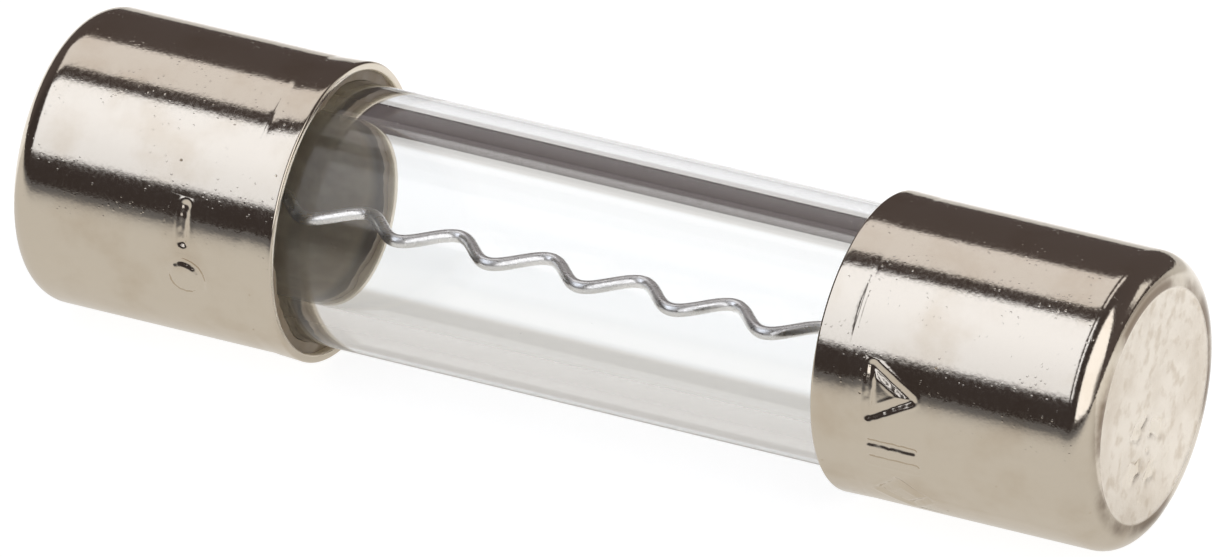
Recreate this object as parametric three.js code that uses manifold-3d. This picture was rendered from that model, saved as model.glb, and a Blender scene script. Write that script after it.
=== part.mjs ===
// Glass cartridge fuse of the 5 x 20 mm class.
//
// Two drawn metal end caps are cemented over the ends of a clear glass tube. One fine wavy wire
// runs through the tube and is soldered into both caps. All sizes are in millimetres. The fuse
// lies along X with its centre at the origin, and +Z is up.

import * as THREE from 'three';
import { mergeVertices } from 'three/addons/utils/BufferGeometryUtils.js';
import Module from 'manifold-3d';

const wasm = await Module();
wasm.setup();

// Whole fuse
const OVERALL_LENGTH = 20.5;
const HALF_LENGTH = OVERALL_LENGTH / 2;
const ROUND_SEGMENTS = 48;
const FINE_CLEARANCE = 0.01;

// End caps: a deep-drawn cup with a rounded bottom edge and a slightly belled mouth
const CAP_RADIUS = 2.585;
const CAP_LENGTH = 5.15;
const CAP_WALL = 0.15;
const CAP_CORNER_RADIUS = 0.5;
const CAP_CORNER_STEPS = 5;
const CAP_MOUTH_X = HALF_LENGTH - CAP_LENGTH;
const BELL_LENGTH = 0.65;
const BELL_FLARE = 0.045;
const LIP_ROUNDING = 0.05;

// Glass tube, its ends standing a little short of the cap bottoms
const GLASS_OUTER_RADIUS = 2.27;
const GLASS_BORE_RADIUS = 1.62;
const GLASS_END_GAP = 0.45;
const GLASS_HALF_LENGTH = HALF_LENGTH - CAP_WALL - GLASS_END_GAP;
const GLASS_EDGE = 0.12;

// Cement ring between the glass and the cap, just inside the mouth
const CEMENT_LENGTH = 1.9;
const CEMENT_INSET = 0.06;

// Fuse wire: a flat wave along X that swings in Y, straight where it enters the solder
const WIRE_RADIUS = 0.115;
const WIRE_SIDES = 8;
const WIRE_STEPS = 170;
const WAVE_AMPLITUDE = 0.32;
const WAVE_PERIOD = 1.745;
const WAVE_START_X = 0.14;
const WAVE_SHARPNESS = 0.4;
const WAVE_FADE_FROM = 8.3;
const WAVE_FADE_TO = 9.1;
const WIRE_HALF_LENGTH = 9.8;
const WIRE_DROP = 0.143;
const WIRE_TILT = 0.0115;

// Solder pool in each cap
const SOLDER_PEAK_X = 9;
const SOLDER_NECK_RADIUS = 0.48;
const SOLDER_DISC_RADIUS = 2.2;
const SOLDER_DISC_BEVEL = 0.2;
const SOLDER_SEGMENTS = 32;

// Stamped marks: plain shapes pressed into the cap's side
const MARK_X = 6.6;
const MARK_STROKE = 0.15;
const MARK_DEPTH = 0.05;
const BAR_LENGTH = 1;
const TRIANGLE_RADIUS = 0.66;
const DIAMOND_RADIUS = 0.54;
const LEFT_MARK_X = -6.8;
const LEFT_BAR_LENGTH = 0.8;
const RING_RADIUS = 0.42;
const RING_SIDES = 16;
const MARK_STEP = 0.22;

const DEGREE = Math.PI / 180;

function point(radius, x) {
  return new THREE.Vector2(radius, x);
}

/** Turns a profile of (radius, x) points about the X axis, with a flat facet underneath. */
function turned(profile, segments = ROUND_SEGMENTS) {
  const geometry = new THREE.LatheGeometry(profile, segments, Math.PI / segments);
  geometry.rotateZ(-Math.PI / 2);
  return geometry;
}

/** A quarter round of the cap's bottom edge, from the side wall to the flat bottom. */
function cornerArc(radius, sideRadius, bottomX) {
  const arc = [];
  for (let step = 0; step <= CAP_CORNER_STEPS; step += 1) {
    const angle = (step / CAP_CORNER_STEPS) * (Math.PI / 2);
    const across = sideRadius - radius + radius * Math.cos(angle);
    const along = bottomX - radius + radius * Math.sin(angle);
    arc.push(point(across, along));
  }
  return arc;
}

/** The cap's closed outline, from the inside of its bottom round the lip to the outside. */
function capProfile() {
  const innerRadius = CAP_RADIUS - CAP_WALL;
  const innerCorner = cornerArc(CAP_CORNER_RADIUS - CAP_WALL, innerRadius, HALF_LENGTH - CAP_WALL);
  const creaseX = CAP_MOUTH_X + BELL_LENGTH;
  return [
    point(0, HALF_LENGTH - CAP_WALL),
    ...innerCorner.reverse(),
    point(innerRadius, creaseX),
    point(innerRadius + BELL_FLARE, CAP_MOUTH_X + LIP_ROUNDING),
    point(innerRadius + BELL_FLARE + LIP_ROUNDING, CAP_MOUTH_X),
    point(CAP_RADIUS + BELL_FLARE - LIP_ROUNDING, CAP_MOUTH_X),
    point(CAP_RADIUS + BELL_FLARE, CAP_MOUTH_X + LIP_ROUNDING),
    point(CAP_RADIUS, creaseX),
    ...cornerArc(CAP_CORNER_RADIUS, CAP_RADIUS, HALF_LENGTH),
    point(0, HALF_LENGTH),
  ];
}

/** Makes a manifold solid of a closed geometry. */
function solidOf(geometry) {
  const bare = new THREE.BufferGeometry();
  bare.setAttribute('position', geometry.getAttribute('position').clone());
  bare.setIndex(geometry.index ? geometry.index.clone() : null);
  const merged = mergeVertices(bare, 1e-4);
  const corners = merged.index.array;
  const kept = [];
  for (let i = 0; i < corners.length; i += 3) {
    const [a, b, c] = [corners[i], corners[i + 1], corners[i + 2]];
    if (a !== b && b !== c && c !== a) {
      kept.push(a, b, c);
    }
  }
  const mesh = new wasm.Mesh({
    numProp: 3,
    vertProperties: new Float32Array(merged.getAttribute('position').array),
    triVerts: new Uint32Array(kept),
  });
  return new wasm.Manifold(mesh);
}

/** Turns a manifold solid back into a geometry. */
function geometryOf(solid) {
  const mesh = solid.getMesh();
  const geometry = new THREE.BufferGeometry();
  geometry.setAttribute('position', new THREE.BufferAttribute(mesh.vertProperties, 3));
  geometry.setIndex(new THREE.BufferAttribute(mesh.triVerts, 1));
  geometry.computeVertexNormals();
  return geometry;
}

/** Adds points along an outline so that no edge is longer than one step. */
function finelyStepped(outline) {
  const points = [];
  outline.forEach((start, i) => {
    const end = outline[(i + 1) % outline.length];
    const steps = Math.max(1, Math.ceil(start.distanceTo(end) / MARK_STEP));
    for (let step = 0; step < steps; step += 1) {
      points.push(start.clone().lerp(end, step / steps));
    }
  });
  return points;
}

/** A regular outline with its first corner towards +X. */
function regularOutline(sides, radius) {
  const outline = [];
  for (let i = 0; i < sides; i += 1) {
    const angle = (i / sides) * 2 * Math.PI;
    outline.push(new THREE.Vector2(Math.cos(angle) * radius, Math.sin(angle) * radius));
  }
  return outline;
}

/** A stroke that follows a regular outline, as a shape with a hole. */
function outlinedMark(sides, radius) {
  const inset = MARK_STROKE / Math.cos(Math.PI / sides);
  const shape = new THREE.Shape(finelyStepped(regularOutline(sides, radius)));
  shape.holes.push(new THREE.Path(finelyStepped(regularOutline(sides, radius - inset))));
  return shape;
}

/** A straight bar with the given lengths along X and round the cap. */
function barMark(lengthX, lengthArc) {
  const [halfX, halfArc] = [lengthX / 2, lengthArc / 2];
  const corners = [
    new THREE.Vector2(-halfX, -halfArc),
    new THREE.Vector2(halfX, -halfArc),
    new THREE.Vector2(halfX, halfArc),
    new THREE.Vector2(-halfX, halfArc),
  ];
  return new THREE.Shape(finelyStepped(corners));
}

/** Wraps a flat mark round the cap's side, as a solid that cuts to the mark's depth. */
function wrappedMark(shape, centreX, angle) {
  const geometry = new THREE.ExtrudeGeometry(shape, {
    depth: 4 * MARK_DEPTH,
    bevelEnabled: false,
  });
  const places = geometry.getAttribute('position');
  for (let i = 0; i < places.count; i += 1) {
    const radius = CAP_RADIUS - MARK_DEPTH + places.getZ(i);
    const turn = angle + places.getY(i) / CAP_RADIUS;
    const x = centreX + places.getX(i);
    places.setXYZ(i, x, -radius * Math.cos(turn), radius * Math.sin(turn));
  }
  return solidOf(geometry);
}

/** The marks on the right cap: a triangle, two bars and a diamond. */
function rightMarks() {
  return [
    wrappedMark(outlinedMark(3, TRIANGLE_RADIUS), MARK_X - 0.16, 11 * DEGREE),
    wrappedMark(barMark(BAR_LENGTH, MARK_STROKE), MARK_X, -10.5 * DEGREE),
    wrappedMark(barMark(BAR_LENGTH, MARK_STROKE), MARK_X, -18.5 * DEGREE),
    wrappedMark(outlinedMark(4, DIAMOND_RADIUS), MARK_X, -38 * DEGREE),
  ];
}

/** The marks on the left cap: a bar round the cap, and a ring. */
function leftMarks() {
  return [
    wrappedMark(barMark(MARK_STROKE, LEFT_BAR_LENGTH), LEFT_MARK_X, 12 * DEGREE),
    wrappedMark(outlinedMark(RING_SIDES, RING_RADIUS), LEFT_MARK_X, -11 * DEGREE),
  ];
}

/** One end cap with its stamped marks. The left cap is the right one turned about. */
function capGeometry(isLeft, marks) {
  const blank = turned(capProfile());
  if (isLeft) {
    blank.rotateZ(Math.PI);
  }
  const stamped = marks.reduce((cap, mark) => cap.subtract(mark), solidOf(blank));
  return geometryOf(stamped);
}

/** The glass tube, with both edges fire-polished. */
function glassGeometry() {
  const middle = (GLASS_OUTER_RADIUS + GLASS_BORE_RADIUS) / 2;
  const shoulder = GLASS_HALF_LENGTH - GLASS_EDGE;
  const half = [
    point(GLASS_OUTER_RADIUS, shoulder),
    point((GLASS_OUTER_RADIUS + middle) / 2, GLASS_HALF_LENGTH),
    point((GLASS_BORE_RADIUS + middle) / 2, GLASS_HALF_LENGTH),
    point(GLASS_BORE_RADIUS, shoulder),
  ];
  const mirrored = half.map((place) => point(place.x, -place.y)).reverse();
  return turned([...half, ...mirrored, half[0].clone()]);
}

/** The cement ring of the right cap, with a slightly sunk edge at the mouth. */
function cementGeometry() {
  const inner = GLASS_OUTER_RADIUS + FINE_CLEARANCE;
  const outer = CAP_RADIUS - CAP_WALL - FINE_CLEARANCE;
  const creaseX = CAP_MOUTH_X + BELL_LENGTH;
  const mouthX = CAP_MOUTH_X + CEMENT_INSET;
  const start = point(inner, mouthX);
  return turned([
    start,
    point(outer + BELL_FLARE * 0.75, mouthX + CEMENT_INSET),
    point(outer, creaseX),
    point(outer, mouthX + CEMENT_LENGTH),
    point(inner, mouthX + CEMENT_LENGTH),
    start.clone(),
  ]);
}

/** Height of the wire's middle line at a place along the fuse. */
function wireHeight(x) {
  return -WIRE_DROP - WIRE_TILT * x;
}

/** The wire's path: a wave whose peaks are a little sharper than a sine's. */
class WavePath extends THREE.Curve {
  getPoint(t, target = new THREE.Vector3()) {
    const x = THREE.MathUtils.lerp(-WIRE_HALF_LENGTH, WIRE_HALF_LENGTH, t);
    const swing = Math.sin((2 * Math.PI * (x - WAVE_START_X)) / WAVE_PERIOD);
    const wave = Math.asin(WAVE_SHARPNESS * swing) / Math.asin(WAVE_SHARPNESS);
    const fade = 1 - THREE.MathUtils.smoothstep(Math.abs(x), WAVE_FADE_FROM, WAVE_FADE_TO);
    const held = THREE.MathUtils.clamp(x, -WAVE_FADE_TO, WAVE_FADE_TO);
    return target.set(x, WAVE_AMPLITUDE * wave * fade, wireHeight(held));
  }
}

/** The wavy fuse wire. */
function wireGeometry() {
  const path = new WavePath();
  path.arcLengthDivisions = 2000;
  const section = new THREE.Shape();
  section.absarc(0, 0, WIRE_RADIUS, 0, 2 * Math.PI);
  return new THREE.ExtrudeGeometry(section, {
    steps: WIRE_STEPS,
    curveSegments: WIRE_SIDES / 2,
    extrudePath: path,
  });
}

/** The solder pool of one cap: a disc behind the glass that rises to a neck round the wire. */
function solderGeometry(isLeft) {
  const bottomX = HALF_LENGTH - CAP_WALL - FINE_CLEARANCE;
  const rimX = GLASS_HALF_LENGTH + FINE_CLEARANCE;
  const boreRadius = GLASS_BORE_RADIUS - FINE_CLEARANCE;
  const pool = turned([
    point(0, SOLDER_PEAK_X),
    point(SOLDER_NECK_RADIUS, SOLDER_PEAK_X + 0.05),
    point(SOLDER_NECK_RADIUS + 0.15, SOLDER_PEAK_X + 0.3),
    point(boreRadius * 0.65, SOLDER_PEAK_X + 0.45),
    point(boreRadius, SOLDER_PEAK_X + 0.4),
    point(boreRadius, rimX),
    point(SOLDER_DISC_RADIUS, rimX),
    point(SOLDER_DISC_RADIUS, rimX + SOLDER_DISC_BEVEL),
    point(SOLDER_DISC_RADIUS - SOLDER_DISC_BEVEL, bottomX),
    point(0, bottomX),
  ], SOLDER_SEGMENTS);
  if (isLeft) {
    pool.rotateZ(Math.PI);
  }
  const side = isLeft ? -1 : 1;
  const hole = new THREE.CylinderGeometry(1, 1, 2, WIRE_SIDES * 2);
  const holeRadius = WIRE_RADIUS + FINE_CLEARANCE;
  hole.scale(holeRadius, 1, holeRadius);
  hole.rotateZ(Math.PI / 2);
  hole.translate(side * (WIRE_HALF_LENGTH + FINE_CLEARANCE - 1), 0, wireHeight(side * WAVE_FADE_TO));
  return geometryOf(solidOf(pool).subtract(solidOf(hole)));
}

function finish(color, roughness, metalness) {
  return new THREE.MeshStandardMaterial({ color, roughness, metalness });
}

function piece(name, geometry, material) {
  const mesh = new THREE.Mesh(geometry, material);
  mesh.name = name;
  return mesh;
}

const fuse = new THREE.Group();

const glass = piece('glass_tube', glassGeometry(), finish(0xf2f4f3, 0.02, 0));
glass.material.transparent = true;
glass.material.opacity = 0.3;
fuse.add(glass);

fuse.add(piece('fuse_wire', wireGeometry(), finish(0xd2cfc8, 0.25, 1)));

for (const side of ['left', 'right']) {
  const isLeft = side === 'left';
  const marks = isLeft ? leftMarks() : rightMarks();
  fuse.add(piece(`end_cap_${side}`, capGeometry(isLeft, marks), finish(0xc9bfae, 0.18, 1)));
  fuse.add(piece(`solder_${side}`, solderGeometry(isLeft), finish(0xb4b3b0, 0.35, 1)));

  const cement = piece(`cement_${side}`, cementGeometry(), finish(0x8a6a45, 0.6, 0));
  cement.rotation.z = isLeft ? Math.PI : 0;
  fuse.add(cement);
}

export default fuse;
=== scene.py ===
"""Glass cartridge fuse: end caps, glass tube, wavy wire, solder pools and cement rings.

Every piece is worked in millimetres and brought to metres when it is finished. Sizes in the
finishes and the studio are in metres, turns are in degrees from the front upwards.
"""

import logging
import math
from dataclasses import dataclass, field
from enum import Enum
from typing import Callable, Iterable, Sequence

import bmesh
import bpy
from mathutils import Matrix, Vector, noise

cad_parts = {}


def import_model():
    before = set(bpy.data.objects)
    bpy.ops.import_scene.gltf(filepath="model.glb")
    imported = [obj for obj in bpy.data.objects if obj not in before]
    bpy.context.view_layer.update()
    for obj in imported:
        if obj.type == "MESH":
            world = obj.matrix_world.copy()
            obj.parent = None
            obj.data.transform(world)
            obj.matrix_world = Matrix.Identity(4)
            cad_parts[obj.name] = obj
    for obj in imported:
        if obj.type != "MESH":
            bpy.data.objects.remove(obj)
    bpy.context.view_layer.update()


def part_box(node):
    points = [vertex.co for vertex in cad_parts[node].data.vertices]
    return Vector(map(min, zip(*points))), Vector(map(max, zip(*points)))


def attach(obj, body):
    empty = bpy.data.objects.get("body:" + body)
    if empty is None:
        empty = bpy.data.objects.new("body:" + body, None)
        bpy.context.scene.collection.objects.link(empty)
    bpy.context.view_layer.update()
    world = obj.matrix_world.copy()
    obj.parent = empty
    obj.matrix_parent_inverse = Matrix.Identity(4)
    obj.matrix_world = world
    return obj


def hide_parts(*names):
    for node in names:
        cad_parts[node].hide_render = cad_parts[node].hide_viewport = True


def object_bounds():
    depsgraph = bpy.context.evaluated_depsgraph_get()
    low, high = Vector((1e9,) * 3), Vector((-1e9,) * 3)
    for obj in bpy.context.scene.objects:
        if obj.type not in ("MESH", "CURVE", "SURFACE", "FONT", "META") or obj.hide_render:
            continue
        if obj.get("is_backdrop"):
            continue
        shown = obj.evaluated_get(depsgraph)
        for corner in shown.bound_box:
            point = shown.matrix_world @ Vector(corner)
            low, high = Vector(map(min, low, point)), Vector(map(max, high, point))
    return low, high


METRE = 0.001
MM = 1000.0
MERGE = 1e-5
CLOSE = 1e-3
ROOT = "root"

Socket = bpy.types.NodeSocket
PointTest = Callable[[Vector], bool]

log = logging.getLogger("fuse")


class Side(Enum):
    """Which end of the fuse a piece belongs to."""

    LEFT = -1
    RIGHT = 1

    @property
    def word(self) -> str:
        """The side's name as it stands in a node's name."""
        return self.name.lower()


# The bell's length, its flare at the mouth, and the turn where the crease behind it is deepest.
BELL_LENGTH = 0.65
BELL_FLARE = {Side.LEFT: 0.038, Side.RIGHT: 0.014}
NOTCH_TURN = {Side.LEFT: 61.0, Side.RIGHT: 42.0}


class Element(Enum):
    """Which elements an edit-mode selection picks."""

    FACES = "FACE"
    EDGES = "EDGE"
    POINTS = "VERT"


def node_box_mm(node: str) -> tuple[Vector, Vector]:
    """Finds a node's lowest and highest corners.

    Args:
        node: Name of the node in the frame.

    Returns:
        The two corners in millimetres.
    """
    low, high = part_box(node)
    return Vector(low) * MM, Vector(high) * MM


def facing_ends(node: str, side: Side) -> tuple[float, float]:
    """Finds a node's ends along X.

    Args:
        node: Name of the node in the frame.
        side: The end of the fuse that it belongs to.

    Returns:
        The end that faces the fuse's middle and the outer end, in millimetres.
    """
    low, high = node_box_mm(node)
    return (low.x, high.x) if side is Side.RIGHT else (high.x, low.x)


def off_axis(place: Vector) -> float:
    """Distance of a place from the fuse's long axis."""
    return math.hypot(place.y, place.z)


def turn_from_front(place: Vector) -> float:
    """Turn of a place about X, from the front upwards, in radians."""
    return math.atan2(place.z, -place.y)


def smooth_step(value: float, start: float, end: float) -> float:
    """Rises smoothly from 0 at start to 1 at end."""
    share = min(1.0, max(0.0, (value - start) / (end - start)))
    return share * share * (3.0 - 2.0 * share)


class Workpiece:
    """A mesh under work in edit mode, measured in millimetres."""

    def __init__(self, name: str, radius: float, start_x: float, end_x: float, sides: int) -> None:
        """Adds a round bar along X and goes into edit mode.

        Args:
            name: Name of the finished piece.
            radius: Radius of the bar.
            start_x: Place of its first end.
            end_x: Place of its last end.
            sides: Number of flats round the bar.
        """
        bpy.ops.object.select_all(action="DESELECT")
        bpy.ops.mesh.primitive_cylinder_add(
            vertices=sides,
            radius=radius,
            depth=abs(end_x - start_x),
            end_fill_type="NGON",
            location=((start_x + end_x) / 2, 0, 0),
            rotation=(0, math.pi / 2, 0),
        )
        self.body = bpy.context.object
        self.body.name = name
        self.body.data.name = name
        bpy.ops.object.transform_apply(location=True, rotation=True, scale=True)
        bpy.ops.object.mode_set(mode="EDIT")

    def pick(self, kind: Element, test: PointTest) -> int:
        """Selects the elements whose every corner passes a test.

        Args:
            kind: Faces, edges or points.
            test: Says whether a corner belongs to the selection.

        Returns:
            The number of elements selected.
        """
        bpy.ops.mesh.select_mode(type=kind.value)
        bpy.ops.mesh.select_all(action="DESELECT")
        shape = bmesh.from_edit_mesh(self.body.data)
        passing = {corner for corner in shape.verts if test(corner.co)}
        if kind is Element.POINTS:
            chosen: list = list(passing)
        else:
            group = shape.faces if kind is Element.FACES else shape.edges
            chosen = [part for part in group if all(corner in passing for corner in part.verts)]
        for part in chosen:
            part.select_set(True)
        shape.select_flush_mode()
        bmesh.update_edit_mesh(self.body.data)
        return len(chosen)

    def pick_end(self, x: float, radius: float) -> int:
        """Selects the flat faces at one end.

        Args:
            x: The end's place along X.
            radius: Radius that holds the faces.

        Returns:
            The number of faces selected.
        """
        return self.pick(
            Element.FACES,
            lambda co: abs(co.x - x) < CLOSE and off_axis(co) < radius + CLOSE,
        )

    def pick_ring(self, x: float, radius: float) -> int:
        """Selects one ring of edges.

        Args:
            x: The ring's place along X.
            radius: The ring's radius.

        Returns:
            The number of edges selected.
        """
        return self.pick(
            Element.EDGES,
            lambda co: abs(co.x - x) < CLOSE and abs(off_axis(co) - radius) < CLOSE,
        )

    def inset(self, width: float, depth: float = 0.0) -> None:
        """Insets the selected faces by a width, sunk by a depth."""
        bpy.ops.mesh.inset(thickness=width, depth=-depth, use_even_offset=True)

    def extrude(self, along_x: float) -> None:
        """Extrudes the selected faces along X."""
        bpy.ops.mesh.extrude_region_move(TRANSFORM_OT_translate={"value": (along_x, 0, 0)})

    def shift(self, along_x: float) -> None:
        """Moves the selection along X."""
        bpy.ops.transform.translate(value=(along_x, 0, 0))

    def widen(self, factor: float) -> None:
        """Scales the selection away from the axis."""
        bpy.ops.transform.resize(value=(1, factor, factor), center_override=(0, 0, 0))

    def bevel(self, width: float, segments: int) -> None:
        """Rounds the selected edges.

        Args:
            width: Distance from the edge to where the rounding starts.
            segments: Number of faces across the rounding.
        """
        bpy.ops.mesh.bevel(
            offset=width,
            segments=segments,
            profile=0.5,
            affect="EDGES",
            clamp_overlap=False,
        )

    def bore_through(self, ends: Sequence[float], radius: float, bore: float) -> None:
        """Opens a round hole from end to end.

        Args:
            ends: Places of the two ends along X.
            radius: Radius of the piece.
            bore: Radius of the hole.
        """
        for end in ends:
            self.pick_end(end, radius)
            self.inset(radius - bore)
        self.pick(Element.FACES, lambda co: off_axis(co) < bore + CLOSE)
        bpy.ops.mesh.bridge_edge_loops()

    def cut_across(self, places: Iterable[float]) -> None:
        """Cuts rings round the piece.

        Args:
            places: Places of the rings along X.
        """
        for x in places:
            bpy.ops.mesh.select_all(action="SELECT")
            bpy.ops.mesh.bisect(plane_co=(x, 0, 0), plane_no=(1, 0, 0), threshold=MERGE)

    def subdivide(self, cuts: int) -> None:
        """Subdivides the selected edges or faces."""
        bpy.ops.mesh.subdivide(number_cuts=cuts)

    def move_points(self, place_of: Callable[[Vector], Vector]) -> None:
        """Moves every corner.

        Args:
            place_of: Gives a corner's new place from its old one.
        """
        shape = bmesh.from_edit_mesh(self.body.data)
        for corner in shape.verts:
            corner.co = place_of(corner.co)
        bmesh.update_edit_mesh(self.body.data)

    def leave(self) -> bpy.types.Object:
        """Leaves edit mode with merged points and outward faces.

        Returns:
            The object, still in millimetres.
        """
        bpy.ops.mesh.select_mode(type="VERT")
        bpy.ops.mesh.select_all(action="SELECT")
        bpy.ops.mesh.remove_doubles(threshold=MERGE)
        bpy.ops.mesh.normals_make_consistent(inside=False)
        bpy.ops.object.mode_set(mode="OBJECT")
        return self.body


def apply_modifier(body: bpy.types.Object, kind: str, **settings: object) -> None:
    """Adds one modifier and applies it.

    Args:
        body: The object, which becomes the active one.
        kind: The modifier's type.
        settings: Values of the modifier's properties.
    """
    bpy.context.view_layer.objects.active = body
    modifier = body.modifiers.new(kind.title(), kind)
    for name, value in settings.items():
        setattr(modifier, name, value)
    bpy.ops.object.modifier_apply(modifier=modifier.name)


def finish_piece(body: bpy.types.Object, angle: float) -> bpy.types.Object:
    """Brings a piece to metres and smooths its shading.

    Args:
        body: The piece in millimetres.
        angle: Edges sharper than this many degrees stay sharp.

    Returns:
        The piece at the origin, with its place in its mesh.
    """
    bpy.ops.object.select_all(action="DESELECT")
    body.select_set(True)
    bpy.context.view_layer.objects.active = body
    body.scale = (METRE, METRE, METRE)
    bpy.ops.object.transform_apply(location=True, rotation=True, scale=True)
    bpy.ops.object.shade_smooth_by_angle(angle=math.radians(angle))
    return body


def fit_piece(
    body: bpy.types.Object,
    material: bpy.types.Material,
    node: str,
) -> None:
    """Gives a piece its finish and its place in the frame.

    Args:
        body: The finished piece.
        material: Its finish.
        node: The CAD node that it stands for.
    """
    body.data.materials.clear()
    body.data.materials.append(material)
    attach(body, ROOT)
    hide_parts(node)
    log.info("%s: %d faces, stands for %s", body.name, len(body.data.polygons), node)


class Painter:
    """Builds the nodes of one material or of the studio's surroundings."""

    def __init__(self, tree: bpy.types.NodeTree) -> None:
        """Starts from an empty node tree."""
        self.tree = tree
        tree.nodes.clear()

    def node(self, kind: str, **settings: object) -> bpy.types.Node:
        """Adds a node.

        Args:
            kind: Type name after ShaderNode.
            settings: Values of the node's own properties.

        Returns:
            The new node.
        """
        made = self.tree.nodes.new("ShaderNode" + kind)
        for name, value in settings.items():
            setattr(made, name, value)
        return made

    def feed(self, socket: Socket, value: object) -> None:
        """Links an output to a socket, or sets the socket's value.

        Args:
            socket: The input fed.
            value: A value or an output.
        """
        if isinstance(value, bpy.types.NodeSocket):
            self.tree.links.new(value, socket)
        else:
            socket.default_value = value

    def math(self, operation: str, *values: object) -> Socket:
        """Adds a Math node.

        Args:
            operation: The node's operation.
            values: One value or output for each of its inputs.

        Returns:
            Its result.
        """
        made = self.node("Math", operation=operation)
        for socket, value in zip(made.inputs, values):
            self.feed(socket, value)
        return made.outputs[0]

    def times(self, first: object, second: object) -> Socket:
        """Multiplies two values or outputs."""
        return self.math("MULTIPLY", first, second)

    def place(self, kind: str = "Object") -> Socket:
        """The texture coordinate of the given kind."""
        return self.node("TexCoord").outputs[kind]

    def split(self, vector: Socket) -> tuple[Socket, Socket, Socket]:
        """Separates a vector.

        Args:
            vector: The vector read.

        Returns:
            Its X, Y and Z.
        """
        made = self.node("SeparateXYZ")
        self.feed(made.inputs[0], vector)
        return made.outputs[0], made.outputs[1], made.outputs[2]

    def stretched(self, vector: Socket, scale: Sequence[float]) -> Socket:
        """Scales a coordinate.

        Args:
            vector: The coordinate read.
            scale: Factor along each axis.

        Returns:
            The scaled coordinate.
        """
        made = self.node("Mapping")
        self.feed(made.inputs["Vector"], vector)
        made.inputs["Scale"].default_value = scale
        return made.outputs[0]

    def ramp(self, value: Socket, start: float, end: float, low: float, high: float) -> Socket:
        """Turns a value between start and end smoothly into one between low and high.

        Args:
            value: The value read.
            start: Where the change starts.
            end: Where it ends.
            low: Result at the start.
            high: Result at the end.

        Returns:
            The result.
        """
        made = self.node("MapRange", interpolation_type="SMOOTHSTEP")
        for socket, given in zip(made.inputs, (value, start, end, low, high)):
            self.feed(socket, given)
        return made.outputs[0]

    def grain(self, vector: Socket, size: float, detail: float = 2.0) -> Socket:
        """Adds noise.

        Args:
            vector: The coordinate read.
            size: Width of its features in metres.
            detail: Number of finer layers.

        Returns:
            The noise, between 0 and 1.
        """
        made = self.node("TexNoise", noise_dimensions="3D")
        self.feed(made.inputs["Vector"], vector)
        made.inputs["Scale"].default_value = 1.0 / size
        made.inputs["Detail"].default_value = detail
        return made.outputs[0]

    def spots(self, vector: Socket, spacing: float, radius: float) -> Socket:
        """Adds sparse round spots.

        Args:
            vector: The coordinate read.
            spacing: Distance between spots in metres.
            radius: Radius of a spot in metres.

        Returns:
            1 in a spot and 0 outside.
        """
        made = self.node("TexVoronoi", feature="F1")
        self.feed(made.inputs["Vector"], vector)
        made.inputs["Scale"].default_value = 1.0 / spacing
        made.inputs["Randomness"].default_value = 1.0
        reach = radius / spacing
        return self.ramp(made.outputs["Distance"], reach * 0.5, reach, 1.0, 0.0)

    def tint(self, share: Socket, first: object, second: object) -> Socket:
        """Mixes two colours by a share.

        Args:
            share: 0 for the first colour and 1 for the second.
            first: A colour or an output.
            second: A colour or an output.

        Returns:
            The mixed colour.
        """
        made = self.node("Mix", data_type="RGBA")
        self.feed(made.inputs[0], share)
        for socket, colour in zip(made.inputs[6:8], (first, second)):
            self.feed(socket, (*colour, 1.0) if isinstance(colour, tuple) else colour)
        return made.outputs[2]

    def blend(self, share: Socket, first: object, second: object) -> Socket:
        """Mixes two values by a share.

        Args:
            share: 0 for the first value and 1 for the second.
            first: A value or an output.
            second: A value or an output.

        Returns:
            The mixed value.
        """
        made = self.node("Mix", data_type="FLOAT")
        for socket, given in zip(made.inputs[0:1] + made.inputs[2:4], (share, first, second)):
            self.feed(socket, given)
        return made.outputs[0]

    def bump(self, height: Socket, depth: float, under: Socket | None = None) -> Socket:
        """Adds relief.

        Args:
            height: Height between 0 and 1.
            depth: Depth of the relief in metres.
            under: A normal that the relief lies on.

        Returns:
            The normal.
        """
        made = self.node("Bump")
        self.feed(made.inputs["Height"], height)
        made.inputs["Strength"].default_value = 1.0
        made.inputs["Distance"].default_value = depth
        if under is not None:
            self.feed(made.inputs["Normal"], under)
        return made.outputs[0]

    def surface(self, **values: object) -> None:
        """Adds the surface shader and the output.

        Args:
            values: The shader's inputs, with underscores in place of spaces.
        """
        shader = self.node("BsdfPrincipled")
        for name, value in values.items():
            self.feed(shader.inputs[name.replace("_", " ")], value)
        output = self.node("OutputMaterial")
        self.feed(output.inputs["Surface"], shader.outputs[0])


def new_material(name: str) -> tuple[bpy.types.Material, Painter]:
    """Makes an empty node material.

    Args:
        name: The material's name.

    Returns:
        The material and the painter of its nodes.
    """
    material = bpy.data.materials.new(name)
    material.use_nodes = True
    return material, Painter(material.node_tree)


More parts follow.
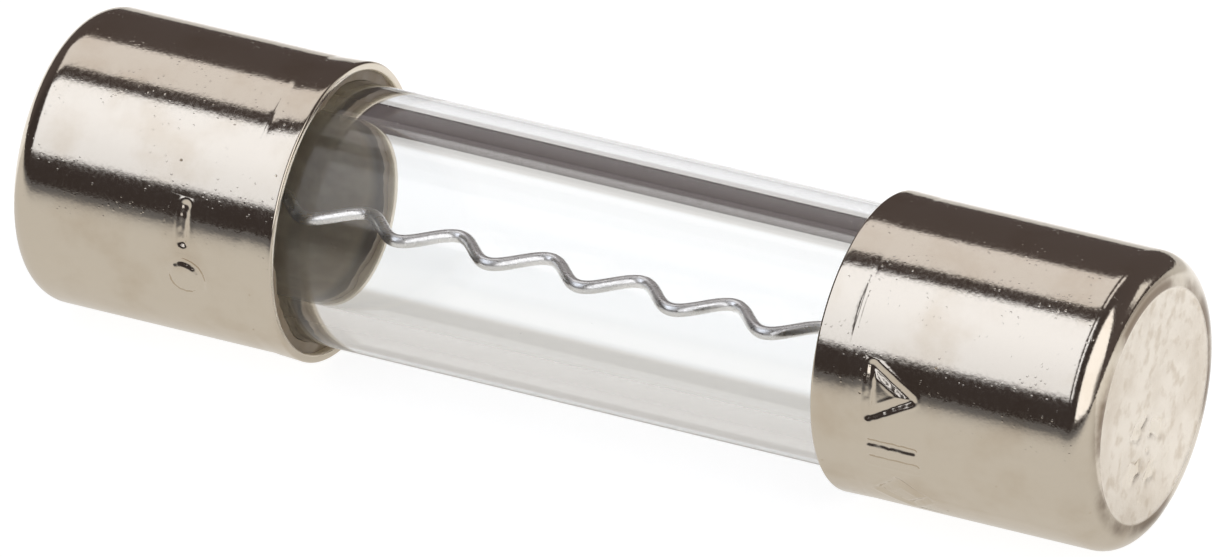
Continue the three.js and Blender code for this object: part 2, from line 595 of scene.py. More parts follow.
@dataclass(frozen=True)
class NickelFinish:
    """Bright nickel plate on drawn brass, with a matt and pitted end."""

    plate: tuple[float, float, float] = (0.665, 0.6, 0.5)
    worn: tuple[float, float, float] = (0.5, 0.4, 0.28)
    matt: tuple[float, float, float] = (0.86, 0.8, 0.71)
    # Dark brown of the painted shade band on the corner next to the end face.
    corner_painted_shade: tuple[float, float, float] = (0.15, 0.1, 0.06)
    side_roughness: float = 0.1
    end_roughness: float = 0.52
    inside: tuple[float, float, float] = (0.86, 0.74, 0.54)
    inside_roughness: float = 0.5
    inside_metal: float = 0.2
    inside_radius: tuple[float, float] = (0.00251, 0.00247)
    peel_size: float = 0.00028
    peel_depth: float = 0.9e-6
    grit_size: float = 0.00006
    grit_depth: float = 1.1e-6
    lump_size: float = 0.0003
    lump_depth: float = 14e-6
    pit_spacing: float = 0.0006
    pit_radius: float = 0.00003
    pit_depth: float = 6e-6
    fleck_spacing: float = 0.0001
    fleck_radius: float = 0.000024
    fleck_depth: float = 1.6e-6
    patch_size: float = 0.0011
    cloud_size: float = 0.0012
    cluster_size: float = 0.0005
    end_from: float = 0.01018
    end_radius: float = 0.00207
    soft: float = 0.00005
    rim_soft: float = 0.00006
    rim_fade: float = 0.0003
    corner_reach: float = 0.00025
    cup_depth: tuple[float, float] = (0.0006, 0.0005)

    def zones(self, paint: Painter, place: Socket) -> tuple[Socket, Socket, Socket]:
        """Finds the flat end faces, the ring round them that takes a band of painted shade, and
        the cup's inside.

        Args:
            paint: The painter in use.
            place: The object coordinate.

        Returns:
            For each of the three, 1 in its zone and 0 elsewhere.
        """
        along, across, up = paint.split(place)
        far = paint.math("ABSOLUTE", along)
        square = paint.math("ADD", paint.times(across, across), paint.times(up, up))
        radius = paint.math("SQRT", square)
        flat, start = self.end_radius, self.end_from
        outer = paint.ramp(far, start, start + self.soft, 0.0, 1.0)
        inside = paint.ramp(radius, flat - self.rim_soft, flat, 1.0, 0.0)
        corner = paint.ramp(far, start - self.corner_reach, start + self.soft, 0.0, 1.0)
        # Ring on the corner just outside the flat end face, where the painted shade goes.
        edge = paint.times(
            paint.ramp(radius, flat - self.soft, flat, 0.0, 1.0),
            paint.ramp(radius, flat + self.rim_soft, flat + self.rim_fade, 1.0, 0.0),
        )
        deep, shallow = self.cup_depth
        cup = paint.times(
            paint.ramp(radius, *self.inside_radius, 0.0, 1.0),
            paint.ramp(far, start - deep, start - shallow, 1.0, 0.0),
        )
        end = paint.times(outer, inside)
        return end, paint.times(corner, edge), cup

    def build(self) -> bpy.types.Material:
        """Makes the material.

        Returns:
            The material.
        """
        material, paint = new_material("nickel_plate")
        place = paint.place()
        end, edge, cup = self.zones(paint, place)
        peel = paint.grain(place, self.peel_size, 3.0)
        grit = paint.grain(place, self.grit_size, 3.0)
        patches = paint.grain(place, self.patch_size, 4.0)
        pits = paint.times(
            paint.spots(place, self.pit_spacing, self.pit_radius),
            paint.ramp(patches, 0.45, 0.6, 0.0, 1.0),
        )
        lumps = paint.grain(place, self.lump_size, 5.0)
        hollows = paint.times(paint.ramp(lumps, 0.3, 0.55, 0.4, 0.0), end)
        worn = paint.math("MAXIMUM", paint.ramp(patches, 0.42, 0.78, 0.0, 0.4), pits)
        worn = paint.math("MAXIMUM", worn, hollows)
        flecks = paint.times(
            paint.spots(place, self.fleck_spacing, self.fleck_radius),
            paint.ramp(paint.grain(place, self.cluster_size, 3.0), 0.48, 0.6, 0.0, 1.0),
        )
        grit_depth = paint.times(grit, paint.ramp(end, 0.0, 1.0, 1.0, 7.0))
        relief = paint.bump(peel, self.peel_depth)
        relief = paint.bump(flecks, self.fleck_depth, relief)
        relief = paint.bump(grit_depth, self.grit_depth, relief)
        relief = paint.bump(paint.times(lumps, end), self.lump_depth, relief)
        relief = paint.bump(paint.math("SUBTRACT", 1.0, pits), self.pit_depth, relief)
        side = paint.ramp(grit, 0.3, 0.7, self.side_roughness - 0.03, self.side_roughness + 0.04)
        rough = paint.blend(end, side, self.end_roughness)
        rough = paint.blend(cup, rough, self.inside_roughness)
        cloudy = paint.ramp(paint.grain(place, self.cloud_size, 5.0), 0.4, 0.62, 0.15, 0.9)
        colour = paint.tint(end, self.plate, self.matt)
        colour = paint.tint(worn, colour, self.worn)
        # Painted shade: a patchy dark band on the corner beside the end face, standing in for a
        # dark reflection there.
        colour = paint.tint(paint.times(edge, cloudy), colour, self.corner_painted_shade)
        colour = paint.tint(cup, colour, self.inside)
        paint.surface(
            Base_Color=colour,
            Metallic=paint.blend(cup, 1.0, self.inside_metal),
            Roughness=rough,
            Normal=relief,
        )
        return material


@dataclass(frozen=True)
class GlassFinish:
    """Clear drawn glass with faint draw lines and a little dust."""

    colour: tuple[float, float, float] = (0.985, 0.99, 0.985)
    sheen: tuple[float, float, float] = (1.0, 0.93, 0.82)
    refraction: float = 1.5
    line_width: float = 0.0003
    line_depth: float = 0.13e-6
    patch_size: float = 0.0016
    clear: float = 0.98
    dusty: float = 0.35
    dust_spacing: float = 0.00032
    dust_radius: float = 0.000011

    def build(self) -> bpy.types.Material:
        """Makes the material.

        Returns:
            The material.
        """
        material, paint = new_material("clear_glass")
        place = paint.place()
        lines = paint.grain(paint.stretched(place, (0.03, 1.0, 1.0)), self.line_width, 2.0)
        patches = paint.grain(place, self.patch_size, 2.0)
        dust = paint.times(
            paint.spots(place, self.dust_spacing, self.dust_radius),
            paint.ramp(patches, 0.42, 0.6, 0.0, 1.0),
        )
        paint.surface(
            Base_Color=(*self.colour, 1.0),
            Roughness=paint.times(dust, 0.5),
            IOR=self.refraction,
            Specular_Tint=(*self.sheen, 1.0),
            Transmission_Weight=paint.ramp(dust, 0.0, 1.0, self.clear, self.dusty),
            Normal=paint.bump(lines, self.line_depth),
        )
        return material


@dataclass(frozen=True)
class WireFinish:
    """Tinned drawn wire."""

    tin: tuple[float, float, float] = (0.98, 0.97, 0.95)
    dull: tuple[float, float, float] = (0.92, 0.9, 0.87)
    roughness: float = 0.3
    line_size: float = 0.00003
    line_depth: float = 0.5e-6
    patch_size: float = 0.0002

    def build(self) -> bpy.types.Material:
        """Makes the material.

        Returns:
            The material.
        """
        material, paint = new_material("tinned_wire")
        place = paint.place()
        lines = paint.grain(paint.stretched(place, (0.12, 1.0, 1.0)), self.line_size, 3.0)
        patches = paint.grain(place, self.patch_size, 3.0)
        paint.surface(
            Base_Color=paint.tint(paint.ramp(patches, 0.4, 0.75, 0.0, 0.6), self.tin, self.dull),
            Metallic=1.0,
            Roughness=paint.ramp(lines, 0.3, 0.7, self.roughness - 0.05, self.roughness + 0.1),
            Normal=paint.bump(lines, self.line_depth),
        )
        return material


@dataclass(frozen=True)
class SolderFinish:
    """Soft grey solder, smooth where it flowed and grainy where it froze last."""

    bright: tuple[float, float, float] = (0.62, 0.61, 0.6)
    grey: tuple[float, float, float] = (0.4, 0.39, 0.37)
    frost_size: float = 0.0001
    frost_depth: float = 3e-6
    flow_size: float = 0.0006
    flow_depth: float = 8e-6

    def build(self) -> bpy.types.Material:
        """Makes the material.

        Returns:
            The material.
        """
        material, paint = new_material("solder")
        place = paint.place()
        frost = paint.grain(place, self.frost_size, 4.0)
        flow = paint.grain(place, self.flow_size, 2.0)
        paint.surface(
            Base_Color=paint.tint(paint.ramp(flow, 0.35, 0.65, 0.0, 1.0), self.bright, self.grey),
            Metallic=1.0,
            Roughness=paint.ramp(frost, 0.3, 0.7, 0.25, 0.5),
            Normal=paint.bump(frost, self.frost_depth, paint.bump(flow, self.flow_depth)),
        )
        return material


@dataclass(frozen=True)
class CementFinish:
    """Brown resin cement, with painted shade on its front edge in the gap between the cap's mouth
    and the glass.
    """

    light: tuple[float, float, float] = (0.92, 0.78, 0.54)
    dark: tuple[float, float, float] = (0.74, 0.58, 0.37)
    # Painted shade: dark colour of the front edge, where the cement lies in the gap under the
    # cap's lip.
    edge: tuple[float, float, float] = (0.26, 0.2, 0.13)
    painted_shade_x: tuple[float, float] = (0.0053, 0.00555)
    coat: float = 0.15
    cloud_size: float = 0.0005
    cloud_depth: float = 10e-6
    bubble_spacing: float = 0.00018
    bubble_radius: float = 0.00003
    bubble_depth: float = 4e-6

    def build(self) -> bpy.types.Material:
        """Makes the material.

        Returns:
            The material.
        """
        material, paint = new_material("amber_cement")
        place = paint.place()
        cloud = paint.grain(place, self.cloud_size, 4.0)
        bubbles = paint.spots(place, self.bubble_spacing, self.bubble_radius)
        along, _, _ = paint.split(place)
        # 0 on the front edge, which takes the painted shade, and 1 further in.
        deep = paint.ramp(paint.math("ABSOLUTE", along), *self.painted_shade_x, 0.0, 1.0)
        body = paint.tint(paint.ramp(cloud, 0.35, 0.7, 0.0, 1.0), self.dark, self.light)
        paint.surface(
            Base_Color=paint.tint(deep, self.edge, body),
            Roughness=paint.ramp(cloud, 0.3, 0.7, 0.35, 0.6),
            Coat_Weight=self.coat,
            Normal=paint.bump(bubbles, self.bubble_depth, paint.bump(cloud, self.cloud_depth)),
        )
        return material


@dataclass(frozen=True)
class Stroke:
    """One stamped line, as points along the cap and round its side in millimetres."""

    points: tuple[tuple[float, float], ...]

    def distance(self, along: float, arc: float) -> float:
        """Finds how far a place on the cap's side is from the stroke.

        Args:
            along: Place along X.
            arc: Place round the cap, from the front upwards.

        Returns:
            The distance in millimetres.
        """
        best = math.inf
        here = Vector((along, arc))
        for first, second in zip(self.points, self.points[1:]):
            start, end = Vector(first), Vector(second)
            line = end - start
            share = (here - start).dot(line) / line.length_squared
            nearest = start + line * min(1.0, max(0.0, share))
            best = min(best, (here - nearest).length)
        return best


def closed_mark(sides: int, radius: float, along: float, arc: float) -> Stroke:
    """Makes a regular outline with its first corner towards +X.

    Args:
        sides: Number of sides.
        radius: Distance of its corners from its middle.
        along: Place of its middle along X.
        arc: Place of its middle round the cap.

    Returns:
        The stroke.
    """
    turns = [2 * math.pi * i / sides for i in range(sides + 1)]
    return Stroke(tuple(
        (along + radius * math.cos(turn), arc + radius * math.sin(turn)) for turn in turns))


@dataclass
class StampedMarks:
    """The marks pressed into one cap's side."""

    side: Side
    cap_radius: float
    middle_x: float = 6.6
    stroke_width: float = 0.15
    depth: float = 0.04
    burr_height: float = 0.007
    burr_width: float = 0.03
    wobble: float = 0.012
    skin: float = 0.02
    bar_length: float = 0.85
    left_bar: float = 0.65
    triangle_radius: float = 0.51
    diamond_radius: float = 0.43
    ring_radius: float = 0.345
    triangle_shift: float = 0.15
    left_shift: float = 0.2
    right_turns: tuple[float, ...] = (11.0, -10.5, -18.5, -38.0)
    left_turns: tuple[float, ...] = (12.0, -11.0)
    strokes: list[Stroke] = field(default_factory=list)

    def __post_init__(self) -> None:
        """Lays out the strokes of this side's marks."""
        if self.side is Side.RIGHT:
            half, middle = self.bar_length / 2, self.middle_x
            triangle, first, second, diamond = (self.arc(turn) for turn in self.right_turns)
            self.strokes = [
                closed_mark(3, self.triangle_radius, middle - self.triangle_shift, triangle),
                Stroke(((middle - half, first), (middle + half, first))),
                Stroke(((middle - half, second), (middle + half, second))),
                closed_mark(4, self.diamond_radius, middle, diamond),
            ]
        else:
            half, middle = self.left_bar / 2, -self.middle_x - self.left_shift
            bar, ring = (self.arc(turn) for turn in self.left_turns)
            self.strokes = [
                Stroke(((middle, bar - half), (middle, bar + half))),
                closed_mark(16, self.ring_radius, middle, ring),
            ]

    def arc(self, degrees: float) -> float:
        """Length round the cap's side from the front."""
        return self.cap_radius * math.radians(degrees)

    def distance(self, co: Vector) -> float:
        """Distance of a corner from the nearest stroke."""
        arc = self.cap_radius * turn_from_front(co)
        return min(stroke.distance(co.x, arc) for stroke in self.strokes)

    def window(self) -> tuple[float, float, float, float]:
        """Finds the box that holds the marks.

        Returns:
            Lowest and highest X, then lowest and highest arc.
        """
        margin = self.stroke_width
        xs = [point[0] for stroke in self.strokes for point in stroke.points]
        arcs = [point[1] for stroke in self.strokes for point in stroke.points]
        return min(xs) - margin, max(xs) + margin, min(arcs) - margin, max(arcs) + margin

    def press(self, body: bpy.types.Object) -> None:
        """Presses the strokes into the cap and raises a slight burr beside them.

        Args:
            body: The cap, in millimetres and out of edit mode.
        """
        low_x, high_x, low_arc, high_arc = self.window()
        pressed = body.vertex_groups.new(name="pressed")
        raised = body.vertex_groups.new(name="raised")
        half = self.stroke_width / 2
        for corner in body.data.vertices:
            co = corner.co
            if not low_x < co.x < high_x or off_axis(co) < self.cap_radius - self.skin:
                continue
            arc = self.cap_radius * turn_from_front(co)
            if not low_arc < arc < high_arc:
                continue
            away = self.distance(co)
            wobble = self.wobble * noise.noise(co * 9.0)
            sunk = 1.0 - smooth_step(away + wobble, 0.0, half * 1.5)
            burr = math.exp(-((away - half * 1.8) / self.burr_width) ** 2)
            pressed.add([corner.index], sunk, "REPLACE")
            raised.add([corner.index], burr, "REPLACE")
        for group_name, strength in (("pressed", -self.depth), ("raised", self.burr_height)):
            apply_modifier(
                body,
                "DISPLACE",
                vertex_group=group_name,
                strength=strength,
                mid_level=0.0,
            )
            body.vertex_groups.remove(body.vertex_groups[group_name])


@dataclass
class EndCap:
    """A drawn cup with a rounded bottom edge, a belled mouth and stamped marks."""

    side: Side
    sides: int = 384
    radius: float = 2.585
    wall: float = 0.15
    corner: float = 0.5
    lip: float = 0.05
    end_border: float = 0.05
    end_slope: float = 0.04
    end_sink: float = 0.012
    end_rows: int = 96
    bell_rings: tuple[float, ...] = (0.1, 0.22, 0.34, 0.46)
    crease_reach: float = 0.07
    crease_support: float = 0.11
    corner_support: float = 0.02
    crease_depth: float = 0.001
    crease_uneven: float = 0.003
    notch_depth: float = 0.011
    notch_width: float = 15.0
    mark_step: float = 0.025
    pits_middle: tuple[float, float] = (-0.25, -0.75)
    pit_depth: float = 0.045
    wave_depth: float = 0.014
    dent_depth: float = 0.01
    sharp_angle: float = 50.0

    @property
    def node(self) -> str:
        """The CAD node that the cap stands for."""
        return f"end_cap_{self.side.word}"

    def __post_init__(self) -> None:
        """Takes the cap's ends from the frame."""
        self.mouth_x, self.end_x = facing_ends(self.node, self.side)
        self.bell_flare = BELL_FLARE[self.side]

    def inward(self, depth: float) -> float:
        """Place along X at a depth measured from the mouth."""
        return self.mouth_x + self.side.value * depth

    def hollow(self, work: Workpiece) -> None:
        """Opens the mouth and hollows the cup, with a rounded inside corner.

        Args:
            work: The cap under work.
        """
        inner = self.radius - self.wall
        work.pick_end(self.mouth_x, self.radius)
        work.inset(self.wall)
        work.extrude(self.end_x - self.mouth_x - self.side.value * self.wall)
        work.pick_ring(self.end_x - self.side.value * self.wall, inner)
        work.bevel(self.corner - self.wall, 6)

    def bell(self, work: Workpiece) -> None:
        """Bells the mouth out from a fine crease and rounds its lip.

        Args:
            work: The cap under work.
        """
        crease, reach = BELL_LENGTH, self.crease_reach
        rings = self.bell_rings
        edges = (crease - reach, crease - reach / 2, crease, crease + reach / 2, crease + reach)
        last = abs(self.end_x - self.mouth_x) - self.corner - self.corner_support
        depths = (*rings, *edges, crease + self.crease_support, last)
        work.cut_across(self.inward(depth) for depth in depths)
        for depth in (0.0, *rings):
            x = self.inward(depth)
            share = 1.0 - depth / crease
            work.pick(Element.POINTS, lambda co, x=x: abs(co.x - x) < CLOSE)
            work.widen(1.0 + share * self.bell_flare / self.radius)
        work.move_points(self.creased)
        flare = 1.0 + self.bell_flare / self.radius
        for radius in (self.radius, self.radius - self.wall):
            work.pick_ring(self.mouth_x, radius * flare)
            work.bevel(self.lip, 4)

    def creased(self, co: Vector) -> Vector:
        """Sinks the crease behind the bell, deepest at one notch.

        Args:
            co: A corner of the cap.

        Returns:
            Its new place.
        """
        away = abs(abs(co.x - self.mouth_x) - BELL_LENGTH)
        if away > self.crease_reach - CLOSE or off_axis(co) < self.radius - self.wall / 2:
            return co
        turn = math.degrees(turn_from_front(co))
        uneven = 0.5 + noise.noise(Vector((self.side.value * 5.0, co.y, co.z)) * 0.8)
        notch = math.exp(-((turn - NOTCH_TURN[self.side]) / self.notch_width) ** 2)
        depth = self.crease_depth + self.notch_depth * notch + self.crease_uneven * uneven
        share = 1.0 - depth * (1.0 - away / self.crease_reach) / self.radius
        return Vector((co.x, co.y * share, co.z * share))

    def dress_end(self, work: Workpiece) -> None:
        """Rounds the bottom edge and lays a fine grid over the slightly sunk end face.

        Args:
            work: The cap under work.
        """
        work.pick_ring(self.end_x, self.radius)
        work.bevel(self.corner, 14)
        flat = self.radius - self.corner
        work.pick_end(self.end_x, flat)
        work.inset(self.end_border)
        work.inset(self.end_slope, self.end_sink)
        bpy.ops.mesh.delete(type="ONLY_FACE")
        edge = flat - self.end_border - self.end_slope
        work.pick_ring(self.end_x - self.side.value * self.end_sink, edge)
        bpy.ops.mesh.fill_grid(span=self.end_rows)

    def refine(self, work: Workpiece, marks: StampedMarks) -> None:
        """Refines the side where the marks are pressed.

        Args:
            work: The cap under work.
            marks: The marks that need fine faces.
        """
        low_x, high_x, low_arc, high_arc = marks.window()
        span = high_x - low_x
        work.cut_across((low_x, high_x))

        def near(co: Vector) -> bool:
            """Tells the corners in the marks' window.

            Args:
                co: A corner of the cap.

            Returns:
                Whether it lies there.
            """
            arc = self.radius * turn_from_front(co)
            return (
                low_x - CLOSE < co.x < high_x + CLOSE
                and low_arc < arc < high_arc
                and off_axis(co) > self.radius - CLOSE
            )

        shape = bmesh.from_edit_mesh(work.body.data)
        bpy.ops.mesh.select_mode(type="EDGE")
        bpy.ops.mesh.select_all(action="DESELECT")
        for edge in shape.edges:
            first, second = edge.verts
            if near(first.co) and near(second.co) and abs(first.co.x - second.co.x) > span / 2:
                edge.select_set(True)
        bmesh.update_edit_mesh(work.body.data)
        work.subdivide(round(span / self.mark_step))
        work.pick(Element.FACES, near)
        shape = bmesh.from_edit_mesh(work.body.data)
        for edge in shape.edges:
            first, second = edge.verts
            if abs(first.co.x - second.co.x) > CLOSE:
                edge.select = False
        bpy.ops.mesh.select_mode(type="EDGE")
        work.subdivide(1)

    def pit_end(self, co: Vector) -> Vector:
        """Sinks the end face's pits and dents.

        Args:
            co: A corner of the cap.

        Returns:
            Its new place.
        """
        flat = self.radius - self.corner
        edge = flat - self.end_border - self.end_slope
        if abs(co.x - self.end_x) > self.end_sink + CLOSE or off_axis(co) > edge + CLOSE:
            return co
        away = (Vector((co.y, co.z)) - Vector(self.pits_middle)).length
        pitted = 1.0 - smooth_step(away, 0.3, 1.3)
        pits = smooth_step(noise.noise(Vector((co.y, co.z, 4.0)) * 3.6), 0.0, 0.5) * pitted
        wave = self.wave_depth * noise.noise(Vector((co.y, co.z, 9.0)) * 1.6)
        dents = self.dent_depth * noise.noise(Vector((co.y, co.z, 2.0)) * 6.0)
        sunk = self.pit_depth * pits + abs(wave) + abs(dents)
        return Vector((co.x - self.side.value * sunk, co.y, co.z))

    def build(self, finish: bpy.types.Material) -> bpy.types.Object:
        """Makes the cap.

        Args:
            finish: The nickel finish.

        Returns:
            The finished cap.
        """
        work = Workpiece(self.node + "_shell", self.radius, self.mouth_x, self.end_x, self.sides)
        marks = StampedMarks(self.side, self.radius)
        self.hollow(work)
        self.dress_end(work)
        self.bell(work)
        self.refine(work, marks)
        work.move_points(self.pit_end)
        body = work.leave()
        marks.press(body)
        finish_piece(body, self.sharp_angle)
        fit_piece(body, finish, self.node)
        return body


@dataclass
class GlassTube:
    """The clear tube, open at both ends, with fire-polished edges."""

    node: str = "glass_tube"
    sides: int = 256
    radius: float = 2.27
    bore: float = 1.62
    edge: float = 0.22
    support: float = 0.03
    sharp_angle: float = 60.0

    def build(self, finish: bpy.types.Material) -> bpy.types.Object:
        """Makes the tube.

        Args:
            finish: The glass finish.

        Returns:
            The finished tube.
        """
        low, high = node_box_mm(self.node)
        work = Workpiece("glass_tube_body", self.radius, low.x, high.x, self.sides)
        work.bore_through((low.x, high.x), self.radius, self.bore)
        for end in (low.x, high.x):
            for ring in (self.radius, self.bore):
                work.pick_ring(end, ring)
                work.bevel(self.edge, 6)
        firm = self.edge + self.support
        work.cut_across((low.x + firm, high.x - firm))
        body = work.leave()
        finish_piece(body, self.sharp_angle)
        fit_piece(body, finish, self.node)
        return body


@dataclass
class FuseWire:
    """The wavy wire between the two solder pools."""

    node: str = "fuse_wire"
    radius: float = 0.115
    amplitude: float = 0.32
    period: float = 1.745
    start_x: float = 0.14
    sharpness: float = 0.4
    fade_from: float = 8.3
    fade_to: float = 9.1
    drop: float = 0.143
    tilt: float = 0.0115
    steps: int = 900
    sharp_angle: float = 60.0

    def place(self, x: float) -> Vector:
        """Finds the middle of the wire at a place along the fuse.

        Args:
            x: Place along X in millimetres.

        Returns:
            The point on the wire's middle line.
        """
        swing = math.sin(2 * math.pi * (x - self.start_x) / self.period)
        wave = math.asin(self.sharpness * swing) / math.asin(self.sharpness)
        fade = 1.0 - smooth_step(abs(x), self.fade_from, self.fade_to)
        held = max(-self.fade_to, min(self.fade_to, x))
        return Vector((x, self.amplitude * wave * fade, -self.drop - self.tilt * held))

    def build(self, finish: bpy.types.Material) -> bpy.types.Object:
        """Makes the wire.

        Args:
            finish: The wire's finish.

        Returns:
            The finished wire.
        """
        low, high = node_box_mm(self.node)
        bpy.ops.object.select_all(action="DESELECT")
        bpy.ops.curve.primitive_bezier_curve_add()
        body = bpy.context.object
        body.name = "fuse_wire_strand"
        curve = body.data
        curve.splines.clear()
        spline = curve.splines.new("POLY")
        spline.points.add(self.steps)
        for i, point in enumerate(spline.points):
            x = low.x + (high.x - low.x) * i / self.steps
            point.co = (*self.place(x), 1.0)
        curve.bevel_depth = self.radius
        curve.bevel_resolution = 8
        curve.use_fill_caps = True
        bpy.ops.object.convert(target="MESH")
        finish_piece(body, self.sharp_angle)
        fit_piece(body, finish, self.node)
        return body


@dataclass
class SolderPool:
    """The solder that fills one cap's bottom and climbs the wire."""

    side: Side
    sides: int = 96
    bore: float = 1.61
    thickness: float = 0.42
    rim: float = 0.12
    climb: float = 0.18
    corner: float = 0.15
    sharp_angle: float = 60.0
    rings: tuple[tuple[float, float], ...] = (
        (0.12, 0.0),
        (0.42, 0.06),
        (0.35, -0.02),
        (0.2, -0.1),
    )
    necks: tuple[tuple[float, float], ...] = ((0.6, 0.82), (0.3, 0.7))

    def build(self, finish: bpy.types.Material) -> bpy.types.Object:
        """Makes the pool.

        Args:
            finish: The solder's finish.

        Returns:
            The finished pool.
        """
        node = f"solder_{self.side.word}"
        low, high = node_box_mm(node)
        sign = self.side.value
        peak, bottom = facing_ends(node, self.side)
        radius = (high.z - low.z) / 2
        rim = bottom - sign * self.thickness
        work = Workpiece(node + "_pool", radius, rim, bottom, self.sides)
        work.pick_end(rim, radius)
        work.inset(radius - self.bore)
        work.extrude(-sign * self.rim)
        for width, rise in self.rings:
            work.inset(width)
            work.shift(sign * rise)
        for share, narrowing in self.necks:
            work.extrude((peak - rim + sign * self.climb) * share)
            work.widen(narrowing)
        work.pick_ring(bottom, radius)
        work.bevel(self.corner, 3)
        body = work.leave()
        apply_modifier(body, "SUBSURF", levels=2, render_levels=2)
        finish_piece(body, self.sharp_angle)
        fit_piece(body, finish, node)
        return body


@dataclass
class CementRing:
    """The resin between the glass and one cap, with an uneven squeezed-out edge."""

    side: Side
    sides: int = 192
    glass_radius: float = 2.28
    outer_radius: float = 2.43
    cuts: tuple[float, ...] = (0.15, 0.4, 0.8)
    squeeze: float = 0.05
    squeeze_uneven: float = 0.07
    squeeze_ripple: float = 0.03
    squeeze_reach: float = 0.5
    sharp_angle: float = 40.0

    def build(self, finish: bpy.types.Material) -> bpy.types.Object:
        """Makes the ring.

        Args:
            finish: The cement's finish.

        Returns:
            The finished ring.
        """
        node = f"cement_{self.side.word}"
        front, back = facing_ends(node, self.side)
        sign = self.side.value
        radius = self.outer_radius
        flare = BELL_FLARE[self.side]
        work = Workpiece(node + "_fillet", radius, front, back, self.sides)
        work.bore_through((front, back), radius, self.glass_radius)
        work.cut_across(front + sign * cut for cut in self.cuts)

        def squeezed(co: Vector) -> Vector:
            """Makes the front edge uneven and follows the cap's bell.

            Args:
                co: A corner of the ring.

            Returns:
                Its new place.
            """
            near = 1.0 - smooth_step(abs(co.x - front), 0.0, self.squeeze_reach)
            swell = self.squeeze_uneven * noise.noise(Vector((0.0, co.y, co.z)) * 1.3)
            ripple = self.squeeze_ripple * noise.noise(Vector((3.0, co.y, co.z)) * 5.0)
            sunk = near * max(0.0, self.squeeze + swell + ripple)
            wide = 1.0
            if off_axis(co) > self.glass_radius + CLOSE:
                depth = abs(co.x - front)
                wide += flare * max(0.0, 1.0 - depth / BELL_LENGTH) / radius
            return Vector((co.x + sign * sunk, co.y * wide, co.z * wide))

        work.move_points(squeezed)
        body = work.leave()
        finish_piece(body, self.sharp_angle)
        fit_piece(body, finish, node)
        return body


@dataclass(frozen=True)
class SoftBox:
    """A soft light of the studio, by its turn about X from the front, and its reach along X.

    The light grows from dim_foot at its foot to its full strength over the rise, in degrees.
    """

    turn: tuple[float, float]
    reach: tuple[float, float]
    colour: tuple[float, float, float]
    soft_turn: float = 1.5
    soft_reach: float = 0.04
    dim_foot: float = 1.0
    rise: float = 45.0

    def paint(self, paint: Painter, turn: Socket, along: Socket) -> Socket:
        """Paints the light's colour over all directions.

        Args:
            paint: The painter in use.
            turn: The direction's turn about X in degrees.
            along: The direction's share along X.

        Returns:
            The light's colour, black outside the light.
        """
        edge, fade = self.soft_turn, self.soft_reach
        parts = (
            paint.ramp(turn, self.turn[0] - edge, self.turn[0] + edge, 0.0, 1.0),
            paint.ramp(turn, self.turn[1] - edge, self.turn[1] + edge, 1.0, 0.0),
            paint.ramp(along, self.reach[0] - fade, self.reach[0] + fade, 0.0, 1.0),
            paint.ramp(along, self.reach[1] - fade, self.reach[1] + fade, 1.0, 0.0),
        )
        share = paint.ramp(turn, self.turn[0], self.turn[0] + self.rise, self.dim_foot, 1.0)
        for part in parts:
            share = paint.times(share, part)
        scaled = paint.node("VectorMath", operation="SCALE")
        scaled.inputs[0].default_value = self.colour
        paint.feed(scaled.inputs["Scale"], share)
        return scaled.outputs[0]


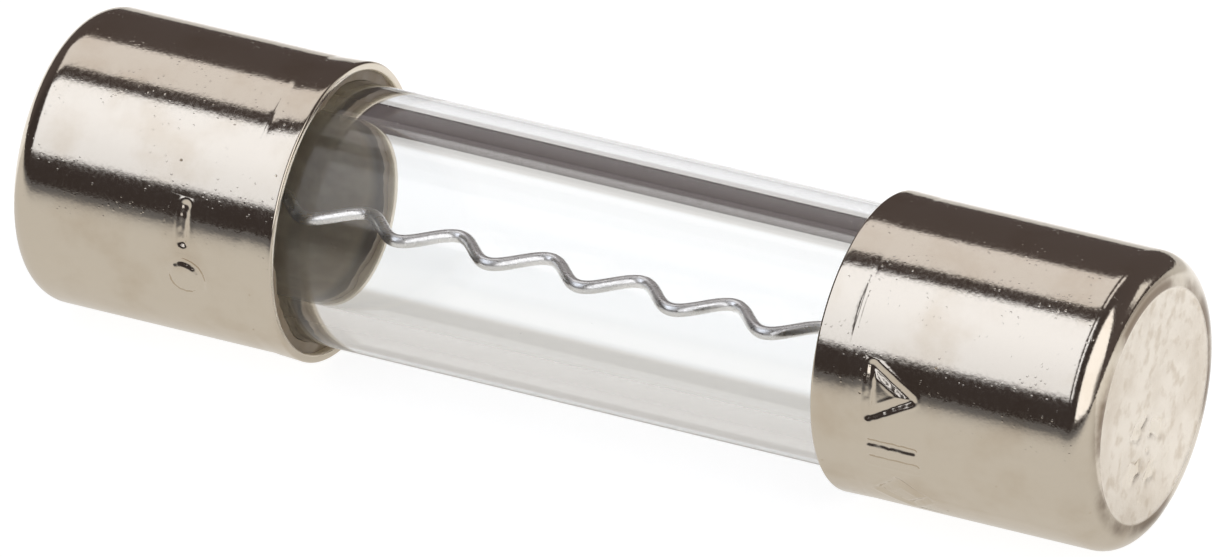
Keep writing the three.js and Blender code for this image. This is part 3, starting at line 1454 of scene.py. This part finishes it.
@dataclass
class Studio:
    """The pale floor, the soft lights and the camera."""

    card_front: float = 0.09
    card_back: float = 0.11
    card_side: float = 0.12
    card_gap: float = 0.00001
    card_white: float = 0.9
    card_pale: tuple[float, float, float] = (0.27, 0.27, 0.27)
    card_grey: tuple[float, float, float] = (0.24, 0.24, 0.24)
    # Bands of the card's glow across Y as start, end and gain; the dim strip under and just in
    # front of the fuse is a painted shadow.
    glow_bands_with_painted_shadow: tuple[tuple[float, float, float], ...] = (
        (-0.032, -0.008, 0.62),
        (0.0007, 0.0013, 0.36),
        (0.017, 0.026, -0.4),
    )
    white_glow: tuple[float, float] = (0.64, 0.9)
    fibre_size: float = 0.0004
    fibre_depth: float = 2e-6
    warm_glow: tuple[float, float, float] = (1.0, 0.965, 0.915)
    white: tuple[float, float, float] = (1.0, 1.0, 1.0)
    shade: tuple[float, float] = (0.046, 0.088)
    shade_turn: tuple[float, float] = (50.0, 140.0)
    shade_tint: tuple[float, float, float] = (1.2, 0.98, 0.97)
    azimuth: float = 27.3
    elevation: float = 27.5
    distance: float = 0.4
    lens: float = 694.7
    shift: tuple[float, float] = (0.00334, -0.00179)
    boxes: tuple[SoftBox, ...] = (
        SoftBox((21.0, 82.0), (-0.7, -0.17), (1.3, 1.37, 1.54), 2.5, dim_foot=0.85),
        SoftBox((94.0, 126.5), (-0.7, -0.17), (0.88, 0.87, 0.9)),
        SoftBox((21.0, 82.0), (-0.06, 0.05), (1.3, 1.37, 1.54), 2.5, 0.015, 0.85),
        SoftBox((94.0, 126.5), (-0.06, 0.05), (0.88, 0.87, 0.9), soft_reach=0.015),
        SoftBox((5.0, 100.0), (0.42, 0.97), (1.45, 1.45, 1.5)),
        SoftBox((148.0, 172.0), (0.6, 0.78), (0.9, 0.9, 0.9)),
    )

    def floor(self) -> None:
        """Lays the pale card under the fuse. To the camera it is an even white; to every other ray
        its glow is a painted light map: none far in front, dimmer under and just in front of the
        fuse as a painted contact shadow, brightest just behind it and dimmer far behind.
        """
        low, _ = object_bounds()
        bpy.ops.object.select_all(action="DESELECT")
        bpy.ops.mesh.primitive_plane_add(size=2.0)
        card = bpy.context.object
        card.name = "floor_card"
        card.scale = (self.card_side, (self.card_front + self.card_back) / 2, 1.0)
        card.location = (0.0, (self.card_back - self.card_front) / 2, low[2] - self.card_gap)
        bpy.ops.object.transform_apply(location=True, rotation=True, scale=True)
        material, paint = new_material("pale_card")
        fibre = paint.grain(paint.place(), self.fibre_size, 4.0)
        _, across, _ = paint.split(paint.place())
        front, behind, far = (
            paint.ramp(across, start, end, 0.0, gain) for start, end, gain in self.glow_bands_with_painted_shadow)
        # Painted light map of the floor, with a painted contact shadow under the fuse, seen only
        # in reflections and through the glass.
        glow_with_painted_shadow = paint.math("ADD", front, paint.math("ADD", behind, far))
        seen = paint.node("LightPath").outputs["Is Camera Ray"]
        paint.surface(
            Base_Color=paint.tint(fibre, self.card_grey, self.card_pale),
            Roughness=0.7,
            Specular_IOR_Level=0.1,
            # The dim, painted-shadow parts of the glow are also warmer in colour.
            Emission_Color=paint.tint(
                paint.math("MAXIMUM", seen, paint.ramp(glow_with_painted_shadow, *self.white_glow, 0.0, 1.0)),
                self.warm_glow,
                self.white,
            ),
            Emission_Strength=paint.math("MAXIMUM", glow_with_painted_shadow, paint.times(seen, self.card_white)),
            Normal=paint.bump(fibre, self.fibre_depth),
        )
        card.data.materials.append(material)
        card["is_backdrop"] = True

    def surroundings(self) -> None:
        """Paints the soft lights round the fuse, and white behind it for the camera."""
        world = bpy.data.worlds.new("studio")
        bpy.context.scene.world = world
        world.use_nodes = True
        paint = Painter(world.node_tree)
        along, across, up = paint.split(paint.place("Generated"))
        turn = paint.math("DEGREES", paint.math("ARCTAN2", up, paint.times(across, -1.0)))
        colour = self.boxes[0].paint(paint, turn, along)
        for box in self.boxes[1:]:
            added = paint.node("VectorMath", operation="ADD")
            paint.feed(added.inputs[0], colour)
            paint.feed(added.inputs[1], box.paint(paint, turn, along))
            colour = added.outputs[0]
        lights = paint.node("Background")
        paint.feed(lights.inputs["Color"], colour)
        shades = paint.node("Background")
        paint.feed(shades.inputs["Strength"], paint.ramp(turn, *self.shade_turn, *self.shade))
        shades.inputs["Color"].default_value = (*self.shade_tint, 1.0)
        both = paint.node("AddShader")
        paint.feed(both.inputs[0], lights.outputs[0])
        paint.feed(both.inputs[1], shades.outputs[0])
        backdrop = paint.node("Background")
        backdrop.inputs["Color"].default_value = (*self.white, 1.0)
        mix = paint.node("MixShader")
        paint.feed(mix.inputs[0], paint.node("LightPath").outputs["Is Camera Ray"])
        paint.feed(mix.inputs[1], both.outputs[0])
        paint.feed(mix.inputs[2], backdrop.outputs[0])
        output = paint.node("OutputWorld")
        paint.feed(output.inputs["Surface"], mix.outputs[0])

    def camera(self) -> None:
        """Sets up the long-lens camera."""
        turn, rise = math.radians(self.azimuth), math.radians(self.elevation)
        back = Vector((
            math.sin(turn) * math.cos(rise),
            -math.cos(turn) * math.cos(rise),
            math.sin(rise),
        ))
        data = bpy.data.cameras.new("camera")
        data.lens = self.lens
        data.shift_x, data.shift_y = self.shift
        eye = bpy.data.objects.new("camera", data)
        eye.location = back * self.distance
        eye.rotation_euler = back.to_track_quat("Z", "Y").to_euler()
        bpy.context.scene.collection.objects.link(eye)
        bpy.context.scene.camera = eye

    def build(self) -> None:
        """Sets up the whole studio."""
        self.camera()
        self.surroundings()
        self.floor()
        view = bpy.context.scene.view_settings
        view.view_transform = "Standard"
        view.look = "None"


def main() -> None:
    """Builds the fuse and the studio round the frame."""
    logging.basicConfig(level=logging.INFO, format="%(message)s")
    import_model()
    Studio().build()
    nickel = NickelFinish().build()
    solder = SolderFinish().build()
    cement = CementFinish().build()
    GlassTube().build(GlassFinish().build())
    FuseWire().build(WireFinish().build())
    for side in Side:
        EndCap(side).build(nickel)
        SolderPool(side).build(solder)
        CementRing(side).build(cement)


if __name__ == "__main__":
    main()
